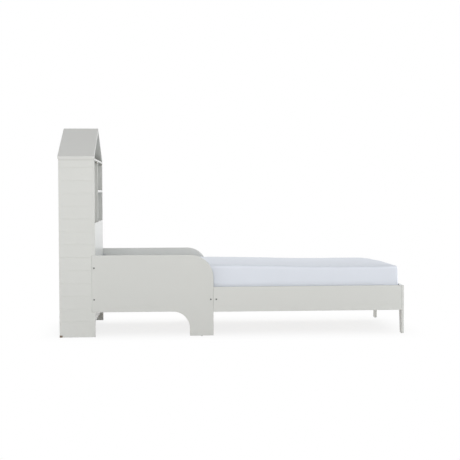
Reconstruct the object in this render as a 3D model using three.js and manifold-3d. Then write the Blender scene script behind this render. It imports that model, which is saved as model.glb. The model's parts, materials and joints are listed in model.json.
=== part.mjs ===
// House bed: a single bed whose headboard is a bookcase shaped like a small
// house, with planked side walls and a pitched roof. Two guard boards with a
// rounded shoulder and an arched leg run from it, two low rails carry on to a
// foot board on tapered legs, and a slatted base holds the mattress.
//
// Millimetres, +Z up. The bed lies along X with the headboard at -X and the
// foot board at +X. The origin is on the floor under the middle of the bed.

import * as THREE from "three";
import { mergeVertices } from "three/addons/utils/BufferGeometryUtils.js";
import Module from "manifold-3d";

const wasm = await Module();
wasm.setup();

// Boards and the fit between them
const boardThickness = 16;
const backPanelThickness = 3;
const easedEdge = 1.5;
const backPanelEasedEdge = 0.5;
const backPanelRebate = 8;
const atticFloorThickness = 12;
const jointGap = 0.3;

// Mattress and the room left round it
const mattressLength = 2000;
const mattressWidth = 900;
const mattressThickness = 184;
const mattressCornerRadius = 36;
const mattressInnerCornerRadius = 12;
const mattressEdgeRadius = 22;
const mattressCrown = 6;
const mattressWidestHeight = 60;
const mattressBaseDraw = 5;
const mattressTopDraw = 8;
const mattressHeadClearance = 3;
const mattressFootClearance = 7;
const mattressSideClearance = 5;
const mattressRecess = 46;

// Headboard bookcase
const headboardDepth = 232;
const sideWallHeight = 1157;
const wallStand = 1;
const roofPitch = THREE.MathUtils.degToRad(23.5);
const eavesOverhang = 4;
const rearOverhang = 5;
const atticFloorRise = 4;
const bookcaseFloorHeight = 739;
const middleShelfHeight = 956;
const nearColumnWidth = 351;
const frontPanelBottom = 100;
const plankPitch = 83.4;
const topPlankHeight = 55;
const grooveWidth = 2.4;

// Guard boards, rails and foot board
const railBottom = 158;
const railHeight = 163;
const guardBottom = 162;
const guardHeight = 531;
const guardReach = 767;
const guardLap = 22;
const guardLegWidth = 155;
const shoulderRadius = 150;
const archRadius = 110;
const footLegTopWidth = 75;
const footLegBottomWidth = 55;
const footLegFillet = 20;
const footCornerRadius = 12;

// Slatted base
const slatCount = 12;
const slatWidth = 90;
const slatThickness = 15;
const slatEndClearance = 3;
const slatCornerRadius = 6;
const ledgerHeight = 40;
const ledgerDepth = 20;
const ledgerEndClearance = 8;
const ledgerLap = 60;

// Fittings
const boltDiameter = 6;
const boltHeadDiameter = 10;
const boltHeadHeight = 6;
const boltSocketWidth = 5;
const boltSocketDepth = 3;
const socketSides = 6;
const boltClearance = 0.3;
const connectorBoltLength = 60;
const seamBoltLength = 30;
const barrelDiameter = 10;
const barrelShortfall = 3;
const barrelSetback = 35;
const lapBoltInset = 82;
const seamBoltSetback = 18;
const footBoltInset = 45;
const glideDiameter = 14;
const sunkGlideDiameter = 10;
const glideThickness = 3;
const glideRounding = 1;
const glideSetback = 9;
const glidePinDiameter = 3;
const glidePinLength = 12;
const cornerGlideLength = 18;
const cornerGlideHeight = 13;

// Places that follow from the sizes above
const innerHalfWidth = mattressWidth / 2 + mattressSideClearance;
const outerHalfWidth = innerHalfWidth + boardThickness;
const headFront = headboardDepth;
const footInner = headFront + mattressHeadClearance + mattressLength + mattressFootClearance;
const footOuter = footInner + boardThickness;
const seam = headFront + guardReach;
const standHeight = glideThickness + jointGap;
const railTop = railBottom + railHeight;
const slatTop = railTop - mattressRecess;
const ledgerTop = slatTop - slatThickness - jointGap;
const ledgerMiddle = ledgerTop - ledgerHeight / 2;
const frontPanelMiddle = headFront - boardThickness / 2;
const boardMiddleY = innerHalfWidth + boardThickness / 2;
const roofDrop = boardThickness / Math.cos(roofPitch);
const dividerSide = -innerHalfWidth + nearColumnWidth;
const bedRear = -rearOverhang;
const shelfRear = backPanelThickness + jointGap;
const atticFloorHeight = sideWallHeight + atticFloorRise;
const barrelLength = boardThickness - barrelShortfall;
const behindFrontPanel = headFront - boardThickness - jointGap;
const middleShelfStart = dividerSide + boardThickness + jointGap;
const mattressMiddle = headFront + mattressHeadClearance + mattressLength / 2;

// How finely round shapes are faceted: the chord's distance from its arc, and the least sides
const chordError = 0.12;
const fewestSides = 10;
const mattressCornerSteps = 7;
const mattressEdgeSteps = 4;
const mattressCrownSteps = 4;

// How far a cutting tool runs past the face that it opens
const overshoot = 1;
const weldDistance = 1e-4;

// Finishes
const paint = () => new THREE.MeshStandardMaterial({ color: "#d5d4cd", roughness: 0.5, metalness: 0 });
const hardboard = () => new THREE.MeshStandardMaterial({ color: "#d9d8d2", roughness: 0.65, metalness: 0 });
const pine = () => new THREE.MeshStandardMaterial({ color: "#dfc59a", roughness: 0.62, metalness: 0 });
const cover = () => new THREE.MeshStandardMaterial({ color: "#e6e9f0", roughness: 0.9, metalness: 0 });
const steel = () => new THREE.MeshStandardMaterial({ color: "#8b8d8c", roughness: 0.38, metalness: 1 });
const plastic = () => new THREE.MeshStandardMaterial({ color: "#6f5d4b", roughness: 0.6, metalness: 0 });

const bed = new THREE.Group();
bed.position.x = -(bedRear + footOuter) / 2;

function add(name, geometry, material, position = [0, 0, 0]) {
  const mesh = new THREE.Mesh(geometry, material);
  mesh.name = name;
  mesh.position.set(...position);
  bed.add(mesh);
}

// Closed solids and what is cut out of them
function solidOf(geometry) {
  const bare = geometry.clone();
  bare.deleteAttribute("normal");
  bare.deleteAttribute("uv");
  const merged = mergeVertices(bare, weldDistance);
  const mesh = new wasm.Mesh({
    numProp: 3,
    vertProperties: new Float32Array(merged.attributes.position.array),
    triVerts: new Uint32Array(merged.index.array),
  });
  return new wasm.Manifold(mesh);
}

function geometryOf(solid) {
  const { vertProperties, triVerts } = solid.getMesh();
  const geometry = new THREE.BufferGeometry();
  geometry.setAttribute("position", new THREE.BufferAttribute(vertProperties, 3));
  geometry.setIndex(new THREE.BufferAttribute(triVerts, 1));
  geometry.computeVertexNormals();
  return geometry;
}

function cut(body, tools) {
  return geometryOf(tools.reduce((solid, tool) => solid.subtract(solidOf(tool)), solidOf(body)));
}

function join(body, extras) {
  return geometryOf(extras.reduce((solid, extra) => solid.add(solidOf(extra)), solidOf(body)));
}

// The number of straight steps that follow an arc within the chord error
function arcSteps(radius, sweep) {
  return Math.ceil(Math.abs(sweep) / (2 * Math.acos(1 - chordError / radius)));
}

function roundSteps(diameter) {
  return Math.max(fewestSides, arcSteps(diameter / 2, 2 * Math.PI));
}

// The points that round a corner: an arc tangent to the edges on both sides of it
function roundedCorner(before, corner, after, radius) {
  if (radius === 0) return [corner];
  const back = before.clone().sub(corner).normalize();
  const ahead = after.clone().sub(corner).normalize();
  const halfAngle = Math.acos(back.dot(ahead)) / 2;
  const sweep = Math.sign(ahead.cross(back)) * (Math.PI - 2 * halfAngle);
  const steps = arcSteps(radius, sweep);
  const centre = back.clone().add(ahead).normalize();
  centre.multiplyScalar(radius / Math.sin(halfAngle)).add(corner);
  const start = back.multiplyScalar(radius / Math.tan(halfAngle)).add(corner);
  return Array.from({ length: steps + 1 }, (_, i) => {
    return start.clone().rotateAround(centre, (sweep * i) / steps);
  });
}

// A closed outline through corners [x, y, radius]; a radius rounds its corner
function outline(corners) {
  const points = corners.map(([x, y]) => new THREE.Vector2(x, y));
  const rounded = points.flatMap((corner, i) => {
    const after = points[(i + 1) % points.length];
    return roundedCorner(points.at(i - 1), corner, after, corners[i][2] ?? 0);
  });
  return new THREE.Shape(rounded);
}

function rectangle(left, bottom, right, top, radius = 0) {
  return [[left, bottom, radius], [right, bottom, radius], [right, top, radius], [left, top, radius]];
}

// A board of the given outline with eased edges, its thickness along +Z
function board(corners, thickness, eased = easedEdge) {
  const geometry = new THREE.ExtrudeGeometry(outline(corners), {
    depth: thickness - 2 * eased,
    bevelEnabled: true,
    bevelThickness: eased,
    bevelSize: eased,
    bevelOffset: -eased,
    bevelSegments: 1,
  });
  return geometry.translate(0, 0, eased);
}

// The outline is given in X and Z, and the board fills Y from one side to the other
function boardAlongBed(corners, fromY, thickness, eased) {
  return board(corners, thickness, eased).rotateX(Math.PI / 2).translate(0, fromY + thickness, 0);
}

// The outline is given in Y and Z, and the board fills X from one side to the other
function boardAcrossBed(corners, fromX, thickness, eased) {
  return board(corners, thickness, eased).rotateX(Math.PI / 2).rotateZ(Math.PI / 2).translate(fromX, 0, 0);
}

// The outline is given in X and Y, and the board fills Z from the bottom upwards
function levelBoard(corners, fromZ, thickness, eased) {
  return board(corners, thickness, eased).translate(0, 0, fromZ);
}

// Round stock between two points
function rod(from, to, diameter, sides = roundSteps(diameter)) {
  const start = new THREE.Vector3(...from);
  const axis = new THREE.Vector3(...to).sub(start);
  const geometry = new THREE.CylinderGeometry(diameter / 2, diameter / 2, axis.length(), sides);
  geometry.translate(0, axis.length() / 2, 0);
  const turn = new THREE.Quaternion().setFromUnitVectors(new THREE.Vector3(0, 1, 0), axis.normalize());
  return geometry.applyQuaternion(turn).translate(...start.toArray());
}

// A point a distance along a unit direction from another
function along(point, direction, distance) {
  return point.map((value, i) => value + direction[i] * distance);
}

const sides = [["near", -1], ["far", 1]];

// Where the bolts sit: the point on the outer face and the way they are driven
const lapBoltHeights = {
  upper: guardHeight - lapBoltInset,
  lower: guardBottom + lapBoltInset,
};
const footBoltHeights = {
  upper: railTop - footBoltInset,
  lower: railBottom + footBoltInset,
};

function lapBolts(side) {
  return Object.entries(lapBoltHeights).map(([level, z]) => ({
    level,
    mouth: [frontPanelMiddle, side * outerHalfWidth, z],
    drive: [0, -side, 0],
    length: connectorBoltLength,
  }));
}

function seamBolts(side) {
  return [["guard", -seamBoltSetback], ["rail", seamBoltSetback]].map(([member, offset]) => ({
    member,
    mouth: [seam + offset, side * outerHalfWidth, ledgerMiddle],
    drive: [0, -side, 0],
    length: seamBoltLength,
  }));
}

function footBolts(side) {
  return Object.entries(footBoltHeights).map(([level, z]) => ({
    level,
    mouth: [footOuter, side * boardMiddleY, z],
    drive: [-1, 0, 0],
    length: connectorBoltLength,
  }));
}

// A socket-head bolt sunk flush into the board, and the hole it needs
function boltGeometry({ mouth, drive, length }) {
  const headEnd = along(mouth, drive, boltHeadHeight);
  const head = rod(mouth, headEnd, boltHeadDiameter);
  const shank = rod(along(mouth, drive, boltHeadHeight / 2), along(mouth, drive, length), boltDiameter);
  const socketFloor = along(mouth, drive, boltSocketDepth);
  const socket = rod(along(mouth, drive, -overshoot), socketFloor, boltSocketWidth, socketSides);
  return cut(join(head, [shank]), [socket]);
}

function boltHole({ mouth, drive, length }) {
  const play = 2 * boltClearance;
  const floor = boltHeadHeight + boltClearance;
  return [
    rod(along(mouth, drive, -overshoot), along(mouth, drive, floor), boltHeadDiameter + play),
    rod(along(mouth, drive, -overshoot), along(mouth, drive, length + boltClearance), boltDiameter + play),
  ];
}

// The cross-hole nut that a bolt screws into, set back from the end of the board it lies in
function barrelNut({ mouth, drive }, reach, axis) {
  const middle = along(mouth, drive, reach + barrelSetback);
  const from = along(middle, axis, -barrelLength / 2);
  const to = along(middle, axis, barrelLength / 2);
  const bore = rod(
    along(middle, drive, -barrelDiameter),
    along(middle, drive, barrelDiameter),
    boltDiameter + 2 * boltClearance,
  );
  return { nut: cut(rod(from, to, barrelDiameter), [bore]), middle };
}

// The blind hole that the nut is dropped into, opening along the axis
function barrelPocket(middle, axis) {
  const floor = along(middle, axis, -barrelLength / 2 - jointGap);
  const open = along(middle, axis, boardThickness);
  return rod(floor, open, barrelDiameter + 2 * boltClearance);
}

const frontPanelNutAxis = [-1, 0, 0];
const lapNut = (bolt) => barrelNut(bolt, boardThickness, frontPanelNutAxis);
const footNut = (bolt, side) => barrelNut(bolt, boardThickness, [0, -side, 0]);

// Nail-on glides under every board that stands on the floor
function glide(x, y, diameter = glideDiameter) {
  const radius = diameter / 2;
  const pin = glidePinDiameter / 2;
  const top = glideThickness + glidePinLength;
  const profile = [
    [0, 0],
    [radius - glideRounding, 0],
    [radius, glideRounding],
    [radius, glideThickness],
    [pin, glideThickness],
    [pin, top],
    [0, top],
  ].map(([r, z]) => new THREE.Vector2(r, z));
  return new THREE.LatheGeometry(profile, roundSteps(diameter)).rotateX(Math.PI / 2).translate(x, y, 0);
}

function glideHole(x, y, seatHeight = glideThickness) {
  const play = 2 * boltClearance;
  const top = seatHeight + glidePinLength + boltClearance;
  return rod([x, y, 0], [x, y, top], glidePinDiameter + play);
}

// The counterbore that lets a small glide in, so that little of it stands below the board
function glideSeat(x, y) {
  return rod([x, y, 0], [x, y, standHeight], sunkGlideDiameter + 2 * boltClearance);
}

// Moulded blocks that glide the headboard's rear corners, each nailed up into its wall
function cornerGlide(side) {
  const fromY = side < 0 ? -outerHalfWidth : innerHalfWidth;
  const corners = rectangle(0, 0, cornerGlideLength, cornerGlideHeight);
  const block = boardAlongBed(corners, fromY, boardThickness, glideRounding);
  const base = [cornerGlideLength / 2, side * boardMiddleY, cornerGlideHeight / 2];
  const pinLength = cornerGlideHeight / 2 + glidePinLength;
  return join(block, [rod(base, along(base, [0, 0, 1], pinLength), glidePinDiameter)]);
}

const frontGlideX = headboardDepth - glideSetback;
const guardLegMiddle = seam - guardLegWidth / 2;
const footGlideY = outerHalfWidth - footLegBottomWidth / 2;

// Headboard walls: planked outside, notched for the guard board and for the corner glide,
// and rebated along the rear for the back panel
function sideWall(side) {
  const notchX = headFront - guardLap - jointGap;
  const glideNotchX = cornerGlideLength + jointGap;
  const glideNotchTop = cornerGlideHeight + jointGap;
  const rise = boardThickness * Math.tan(roofPitch);
  const corners = [
    [0, glideNotchTop],
    [glideNotchX, glideNotchTop],
    [glideNotchX, wallStand],
    [headFront, wallStand],
    [headFront, guardBottom - jointGap],
    [notchX, guardBottom - jointGap],
    [notchX, guardHeight + jointGap],
    [headFront, guardHeight + jointGap],
    [headFront, sideWallHeight + rise],
    [0, sideWallHeight + rise],
  ];
  const fromY = side < 0 ? -outerHalfWidth : innerHalfWidth;
  const wall = boardAlongBed(corners, fromY, boardThickness);
  const glideHoles = [
    glideHole(frontGlideX, side * boardMiddleY),
    glideSeat(frontGlideX, side * boardMiddleY),
    glideHole(cornerGlideLength / 2, side * boardMiddleY, cornerGlideHeight),
  ];
  return cut(wall, [roofCutter(side), rebate(side), ...plankGrooves(side), ...glideHoles]);
}

// The step in a wall's inner rear edge, from the back panel's foot up through the top
function rebate(side) {
  const depth = shelfRear + overshoot;
  const width = backPanelRebate + overshoot;
  const foot = frontPanelBottom - jointGap;
  const block = new THREE.BoxGeometry(depth, width, sideWallHeight);
  const middleY = side * (innerHalfWidth - overshoot + width / 2);
  return block.translate(shelfRear - depth / 2, middleY, foot + sideWallHeight / 2);
}

// The slope that the roof boards lie on, as a block above it
function roofCutter(side) {
  const block = new THREE.BoxGeometry(2 * headboardDepth, 2 * outerHalfWidth, sideWallHeight);
  block.translate(headFront / 2, 0, sideWallHeight / 2);
  block.rotateX(-side * roofPitch);
  return block.translate(0, side * outerHalfWidth, sideWallHeight);
}

// V-grooves that divide the outer face into planks
function plankGrooves(side) {
  const grooves = [];
  const edge = grooveWidth / Math.SQRT2;
  const lowest = standHeight + plankPitch / 2;
  for (let z = sideWallHeight - topPlankHeight; z > lowest; z -= plankPitch) {
    const groove = new THREE.BoxGeometry(2 * headboardDepth, edge, edge);
    grooves.push(groove.rotateX(Math.PI / 4).translate(headFront / 2, side * outerHalfWidth, z));
  }
  return grooves;
}

// Roof boards: mitred at the ridge, cut plumb at the eaves, past the back panel at the rear
function roofBoard(side) {
  const heightAt = (y) => sideWallHeight + jointGap + (outerHalfWidth - y) * Math.tan(roofPitch);
  const eaves = outerHalfWidth + eavesOverhang;
  const ridge = jointGap / 2;
  const corners = [
    [ridge, heightAt(ridge)],
    [eaves, heightAt(eaves)],
    [eaves, heightAt(eaves) + roofDrop],
    [ridge, heightAt(ridge) + roofDrop],
  ].map(([y, z]) => [side * y, z]);
  return boardAcrossBed(corners, bedRear, headFront - bedRear);
}

// Back panel: a thin gabled sheet let into the rear edges of the walls
function backPanel() {
  const reach = innerHalfWidth + backPanelRebate - jointGap;
  const peak = sideWallHeight + outerHalfWidth * Math.tan(roofPitch);
  const top = peak - reach * Math.tan(roofPitch);
  const corners = [
    [-reach, frontPanelBottom],
    [reach, frontPanelBottom],
    [reach, top],
    [0, peak],
    [-reach, top],
  ];
  return boardAcrossBed(corners, 0, backPanelThickness, backPanelEasedEdge);
}

const shelfReach = innerHalfWidth - jointGap;

function frontPanel() {
  const corners = rectangle(-shelfReach, frontPanelBottom, shelfReach, bookcaseFloorHeight);
  const panel = boardAcrossBed(corners, headFront - boardThickness, boardThickness);
  const holes = sides.flatMap(([, side]) => lapBolts(side).flatMap((bolt) => [
    ...boltHole(bolt),
    barrelPocket(lapNut(bolt).middle, frontPanelNutAxis),
  ]));
  return cut(panel, holes);
}

function shelf(left, right, front, top, thickness = boardThickness) {
  return levelBoard(rectangle(shelfRear, left, front, right), top - thickness, thickness);
}

function divider() {
  const bottom = bookcaseFloorHeight + jointGap;
  const top = atticFloorHeight - atticFloorThickness - jointGap;
  return boardAlongBed(rectangle(shelfRear, bottom, headFront, top), dividerSide, boardThickness);
}

// Guard boards: one board each, with the rounded shoulder, the arch and its leg
function guardBoard(side) {
  const legInner = seam - guardLegWidth;
  const corners = [
    [headFront - guardLap, guardBottom],
    [legInner, guardBottom, archRadius],
    [legInner, standHeight],
    [seam - jointGap / 2, standHeight],
    [seam - jointGap / 2, guardHeight, shoulderRadius],
    [headFront - guardLap, guardHeight],
  ];
  const fromY = side < 0 ? -outerHalfWidth : innerHalfWidth;
  const holes = [...lapBolts(side), seamBolts(side)[0]].flatMap(boltHole);
  const guard = boardAlongBed(corners, fromY, boardThickness);
  return cut(guard, [...holes, glideHole(guardLegMiddle, side * boardMiddleY)]);
}

function lowRail(side) {
  const corners = rectangle(seam + jointGap / 2, railBottom, footInner - jointGap, railTop);
  const fromY = side < 0 ? -outerHalfWidth : innerHalfWidth;
  const holes = [seamBolts(side)[1], ...footBolts(side)].flatMap(boltHole);
  const pockets = footBolts(side).map((bolt) => barrelPocket(footNut(bolt, side).middle, [0, -side, 0]));
  return cut(boardAlongBed(corners, fromY, boardThickness), [...holes, ...pockets]);
}

// Foot board: one board with two legs that taper on their inner edges
function footBoard() {
  const halfOutline = [
    [outerHalfWidth - footLegTopWidth, railBottom, footLegFillet],
    [outerHalfWidth - footLegBottomWidth, standHeight],
    [outerHalfWidth, standHeight],
    [outerHalfWidth, railTop, footCornerRadius],
  ];
  const mirrored = halfOutline.map(([y, z, radius]) => [-y, z, radius]).reverse();
  const plate = boardAcrossBed([...halfOutline, ...mirrored], footInner, boardThickness);
  const holes = sides.flatMap(([, side]) => [
    ...footBolts(side).flatMap(boltHole),
    glideHole(footInner + boardThickness / 2, side * footGlideY),
  ]);
  return cut(plate, holes);
}

// Ledgers: battens inside the guard and the rail; the rail's one laps past the seam
function ledger(side, fromX, toX, bolts) {
  const fromY = side < 0 ? -innerHalfWidth + jointGap : innerHalfWidth - jointGap - ledgerDepth;
  const corners = rectangle(fromX, ledgerTop - ledgerHeight, toX, ledgerTop);
  return cut(boardAlongBed(corners, fromY, ledgerDepth), bolts.flatMap(boltHole));
}

// Slats: spaced evenly between the front panel and the foot board
function addSlats() {
  const gap = (footInner - headFront - slatCount * slatWidth) / (slatCount + 1);
  const reach = innerHalfWidth - slatEndClearance;
  for (let i = 0; i < slatCount; i += 1) {
    const fromX = headFront + gap + i * (slatWidth + gap);
    const corners = rectangle(0, -reach, slatWidth, reach, slatCornerRadius);
    const geometry = levelBoard(corners, 0, slatThickness);
    add(`slat_${String(i + 1).padStart(2, "0")}`, geometry, pine(), [fromX, 0, slatTop - slatThickness]);
  }
}

// Mattress: rings round a rounded rectangle, from the base up the side and in to the crown
function mattressGeometry() {
  const levels = mattressLevels();
  const rings = levels.map(({ inset, height }) => mattressRing(inset, height));
  const count = rings[0].length;
  const positions = rings.flat().flatMap((point) => point.toArray());
  const bottomCentre = rings.length * count;
  const topCentre = bottomCentre + 1;
  positions.push(0, 0, levels[0].height, 0, 0, levels.at(-1).height);
  const index = [];
  for (let i = 0; i < count; i += 1) {
    const next = (i + 1) % count;
    index.push(bottomCentre, next, i);
    for (let ring = 0; ring < rings.length - 1; ring += 1) {
      const low = ring * count;
      const high = low + count;
      index.push(low + i, low + next, high + next, low + i, high + next, high + i);
    }
    const last = (rings.length - 1) * count;
    index.push(last + i, last + next, topCentre);
  }
  const geometry = new THREE.BufferGeometry();
  geometry.setAttribute("position", new THREE.Float32BufferAttribute(positions, 3));
  geometry.setIndex(index);
  geometry.computeVertexNormals();
  return geometry;
}

// Each ring's inset from the widest line and its height above the base
function mattressLevels() {
  const levels = [];
  const side = mattressThickness - mattressCrown;
  for (let i = 0; i <= mattressEdgeSteps; i += 1) {
    const turn = (i / mattressEdgeSteps) * (Math.PI / 2);
    const inset = mattressBaseDraw + mattressEdgeRadius * (1 - Math.sin(turn));
    levels.push({ inset, height: mattressEdgeRadius * (1 - Math.cos(turn)) });
  }
  levels.push({ inset: 0, height: mattressWidestHeight });
  for (let i = 0; i <= mattressEdgeSteps; i += 1) {
    const turn = (i / mattressEdgeSteps) * (Math.PI / 2);
    const inset = mattressTopDraw + mattressEdgeRadius * (1 - Math.cos(turn));
    levels.push({ inset, height: side - mattressEdgeRadius * (1 - Math.sin(turn)) });
  }
  const rim = levels.at(-1).inset;
  const middle = mattressWidth / 2;
  for (let i = 1; i <= mattressCrownSteps; i += 1) {
    const share = i / (mattressCrownSteps + 1);
    const inset = rim + (middle - rim) * share;
    levels.push({ inset, height: side + mattressCrown * Math.sin((share * Math.PI) / 2) });
  }
  return levels;
}

function mattressRing(inset, height) {
  const halfLength = mattressLength / 2 - inset;
  const halfWidth = mattressWidth / 2 - inset;
  const cornerRadius = Math.max(mattressCornerRadius - inset, mattressInnerCornerRadius);
  const ring = [];
  const corners = [[1, -1, -90], [1, 1, 0], [-1, 1, 90], [-1, -1, 180]];
  for (const [alongX, alongY, startAngle] of corners) {
    const centreX = alongX * (halfLength - cornerRadius);
    const centreY = alongY * (halfWidth - cornerRadius);
    for (let i = 0; i <= mattressCornerSteps; i += 1) {
      const angle = THREE.MathUtils.degToRad(startAngle + (90 * i) / mattressCornerSteps);
      const x = centreX + cornerRadius * Math.cos(angle);
      const y = centreY + cornerRadius * Math.sin(angle);
      ring.push(new THREE.Vector3(x, y, height));
    }
  }
  return ring;
}

// Headboard
for (const [place, side] of sides) {
  add(`headboard_side_wall_${place}`, sideWall(side), paint());
  add(`roof_board_${place}`, roofBoard(side), paint());
}
add("back_panel", backPanel(), hardboard());
add("front_panel", frontPanel(), paint());
const atticFloor = shelf(-shelfReach, shelfReach, headFront, atticFloorHeight, atticFloorThickness);
add("attic_floor", atticFloor, paint());
add("bookcase_floor", shelf(-shelfReach, shelfReach, behindFrontPanel, bookcaseFloorHeight), paint());
add("divider", divider(), paint());
add("middle_shelf", shelf(middleShelfStart, shelfReach, headFront, middleShelfHeight), paint());

// Sides and foot
for (const [place, side] of sides) {
  add(`guard_board_${place}`, guardBoard(side), paint());
  add(`low_rail_${place}`, lowRail(side), paint());
}
add("foot_board", footBoard(), paint());

// Base and mattress
for (const [place, side] of sides) {
  const [guardBolt, railBolt] = seamBolts(side);
  const lapStart = seam - ledgerLap;
  const guardLedger = ledger(side, headFront + ledgerEndClearance, lapStart - jointGap, []);
  add(`guard_ledger_${place}`, guardLedger, pine());
  const railLedger = ledger(side, lapStart, footInner - ledgerEndClearance, [guardBolt, railBolt]);
  add(`rail_ledger_${place}`, railLedger, pine());
}
addSlats();
add("mattress", mattressGeometry(), cover(), [mattressMiddle, 0, slatTop + jointGap]);

// Fittings
for (const [place, side] of sides) {
  for (const bolt of lapBolts(side)) {
    add(`guard_bolt_${bolt.level}_${place}`, boltGeometry(bolt), steel());
    add(`guard_barrel_nut_${bolt.level}_${place}`, lapNut(bolt).nut, steel());
  }
  for (const bolt of seamBolts(side)) {
    add(`seam_bolt_${bolt.member}_${place}`, boltGeometry(bolt), steel());
  }
  for (const bolt of footBolts(side)) {
    add(`foot_bolt_${bolt.level}_${place}`, boltGeometry(bolt), steel());
    add(`foot_barrel_nut_${bolt.level}_${place}`, footNut(bolt, side).nut, steel());
  }
  add(`glide_wall_rear_${place}`, cornerGlide(side), plastic());
  const sunkGlide = glide(frontGlideX, side * boardMiddleY, sunkGlideDiameter);
  add(`glide_wall_front_${place}`, sunkGlide, plastic());
  add(`glide_guard_${place}`, glide(guardLegMiddle, side * boardMiddleY), plastic());
  add(`glide_foot_${place}`, glide(footInner + boardThickness / 2, side * footGlideY), plastic());
}

export default bed;
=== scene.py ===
"""The looks of a house bed: paint, timber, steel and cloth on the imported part.

Metres, +Z up. The bed lies along X with the headboard at -X and the foot board
at +X. The near side is -Y, where the camera stands.
"""

import json
import math

import bmesh
import bpy
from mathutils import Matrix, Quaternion, Vector, noise
from mathutils.bvhtree import BVHTree


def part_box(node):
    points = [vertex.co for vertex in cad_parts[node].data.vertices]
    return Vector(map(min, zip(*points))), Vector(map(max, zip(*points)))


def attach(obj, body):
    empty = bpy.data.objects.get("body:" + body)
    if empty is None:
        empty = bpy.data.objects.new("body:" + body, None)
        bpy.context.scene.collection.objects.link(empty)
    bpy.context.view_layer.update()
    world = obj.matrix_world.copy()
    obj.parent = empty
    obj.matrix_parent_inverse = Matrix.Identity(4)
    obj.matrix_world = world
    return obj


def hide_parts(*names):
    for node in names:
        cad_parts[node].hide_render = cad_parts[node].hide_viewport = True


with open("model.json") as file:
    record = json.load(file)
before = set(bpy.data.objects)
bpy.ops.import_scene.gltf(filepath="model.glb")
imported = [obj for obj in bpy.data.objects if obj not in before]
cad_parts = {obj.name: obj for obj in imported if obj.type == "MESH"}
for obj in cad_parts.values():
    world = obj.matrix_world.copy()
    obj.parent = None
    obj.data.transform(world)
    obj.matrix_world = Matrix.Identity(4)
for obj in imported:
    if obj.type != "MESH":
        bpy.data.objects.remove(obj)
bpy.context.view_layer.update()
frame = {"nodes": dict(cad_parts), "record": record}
scene = bpy.context.scene

# Where the camera stands and looks
CAMERA_PLACE = (-0.465, -7.384, 0.940)
CAMERA_HEADING = math.radians(3.695)
CAMERA_TILT = math.radians(2.05)
CAMERA_ROLL = math.radians(-0.2)
CAMERA_LENS = 83.2
SENSOR_WIDTH = 36.0

# Soft boxes: place, point lit, size, power and colour
LAMPS = {
    "front_softbox": ((-0.6, -5.0, 2.6), (-0.1, 0.0, 0.7), (3.2, 2.0), 78.0, (1.0, 0.985, 0.985)),
    "low_front_strip": ((0.0, -5.2, 0.5), (0.0, 0.0, 0.3), (4.0, 0.8), 24.0, (1.0, 0.97, 0.86)),
    "low_foot_strip": ((4.6, -1.2, 0.5), (0.0, 0.0, 0.3), (2.0, 0.8), 30.0, (0.86, 0.9, 1.0)),
    "under_bed_strip": ((4.2, 0.0, 0.14), (0.0, 0.0, 0.12), (1.6, 0.2), 32.0, (0.93, 0.96, 1.0)),
    "foot_softbox": ((4.6, -2.2, 1.15), (-0.8, 0.0, 0.9), (1.6, 1.6), 36.0, (0.97, 1.0, 0.98)),
    "head_softbox": ((-4.6, -2.6, 2.0), (0.0, 0.0, 0.5), (2.2, 2.2), 40.0, (0.92, 0.96, 1.0)),
    "rear_softbox": ((0.0, 4.0, 3.2), (0.0, 0.0, 0.5), (4.0, 2.0), 188.0, (1.0, 1.0, 0.98)),
}
SKY_STRENGTH = 0.355

# The floor shows white, but under and close round the bed its light and shadow show
FLOOR_REACH = 40.0
FLOOR_COLOUR = (0.82, 0.82, 0.82, 1.0)
SHADOW_GLOW = 0.825
SHADOW_FLOOR_COLOUR = (0.15, 0.15, 0.15, 1.0)
SHADOW_ACROSS = (0.2, 0.75)
SHADOW_ALONG = (1.0, 1.35)

# Finishes, as linear colours
PAINT_COLOUR = (0.656, 0.662, 0.639, 1.0)
PINE_COLOUR = (0.74, 0.56, 0.33, 1.0)
PINE_DARK_COLOUR = (0.56, 0.36, 0.17, 1.0)
KNOT_COLOUR = (0.24, 0.12, 0.05, 1.0)
COVER_COLOUR = (0.735, 0.768, 0.833, 1.0)
STEEL_COLOUR = (0.62, 0.63, 0.63, 1.0)
BLACKED_STEEL_COLOUR = (0.10, 0.108, 0.11, 1.0)
# The colour of scuffs near the floor, and of the painted shade near the floor and under the eaves
SCUFF_AND_SHADE_COLOUR = (0.36, 0.35, 0.32, 1.0)
CORNER_GLIDE_COLOUR = (0.20, 0.145, 0.10, 1.0)
NAIL_GLIDE_COLOUR = (0.52, 0.52, 0.48, 1.0)
BLOCK_COLOUR = (0.54, 0.52, 0.47, 1.0)
WHITE = (1.0, 1.0, 1.0, 1.0)

# Painted shade and light on the guard boards: how much darker the near one's paint is made, and how much
# lighter the far one's
GUARD_LIGHT_TONES = {"guard_board_near": 0.965, "guard_board_far": 1.035}

# Painted boards whose eased edges turn away from X, and from Z; those of all others turn away from Y
ACROSS_BOARDS = ("front_panel", "foot_board", "roof_board_near", "roof_board_far")
LEVEL_BOARDS = ("attic_floor", "bookcase_floor", "middle_shelf")

# How grain, fibres and slubs are drawn out; a smaller number makes them longer that way
RING_STRETCH = (0.12, 1.0, 1.0)
FIBRE_STRETCH = (0.02, 1.0, 1.0)
SLUB_STRETCH = (1.0, 14.0, 1.0)

# The mesh pressed into the rear of hardboard, in radians a metre
MESH_WAVES = 3100.0

# How wide one thread of each cloth is
COVER_THREAD = 0.0008
SEWING_THREAD = 0.0005

# The mattress cover's mesh: finer lines near its edges, even cells between them
COVER_UV = "cloth"
COVER_CELL = 0.018
COVER_EDGE_LINES = (0.0, 0.004, 0.008, 0.012, 0.017, 0.026, 0.037)
COVER_START_INSET = 0.0025
COVER_RIPPLE = 0.0008
COVER_RIPPLE_SIZE = 0.11
WELD_DISTANCE = 1e-5

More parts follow.
